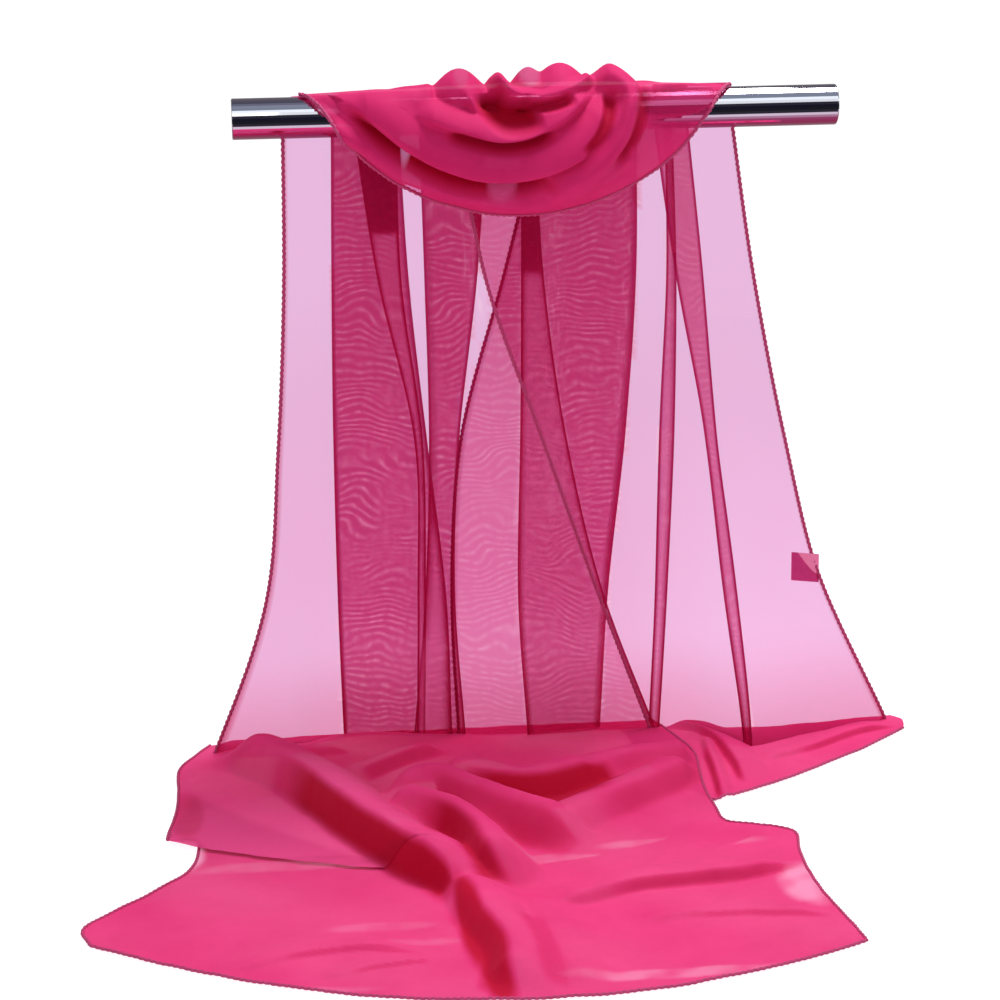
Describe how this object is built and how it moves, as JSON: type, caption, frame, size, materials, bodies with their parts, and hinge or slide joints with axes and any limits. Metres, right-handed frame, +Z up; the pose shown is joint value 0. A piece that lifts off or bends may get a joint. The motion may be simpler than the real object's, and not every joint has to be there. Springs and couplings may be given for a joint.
{
  "type": "chiffon scarf draped over a chrome display rod",
  "caption": "Sheer magenta chiffon scarf draped over a straight chrome rod: a cowl in front, pleated tails behind that spread over the surface below.",
  "frame": {"origin": "centre of the rod's axis, where a stand or a pair of hooks holds the rod up", "axes": "+X along the rod towards the viewer's right, +Y away from the viewer, +Z up"},
  "size_m": [0.6042, 0.472, 0.5047],
  "materials": {
    "chiffon": "sheer plain-weave chiffon with a soft sheen",
    "hem": "rolled, overlocked edge, darker than the cloth",
    "label": "bare woven label",
    "chrome": "polished"
  },
  "bodies": {
    "root": {"rod": "chrome", "cowl": "chiffon", "left_over_rod": "chiffon", "right_over_rod": "chiffon", "left_tail": "chiffon", "right_tail": "chiffon", "left_spread": "chiffon", "right_spread": "chiffon", "cowl_outer_hem": "hem", "left_tail_outer_hem": "hem", "left_tail_inner_hem": "hem", "right_tail_inner_hem": "hem", "right_tail_outer_hem": "hem", "left_spread_left_hem": "hem", "left_spread_right_hem": "hem", "left_spread_end_hem": "hem", "right_spread_end_hem": "hem", "label": "label"}
  },
  "joints": []
}
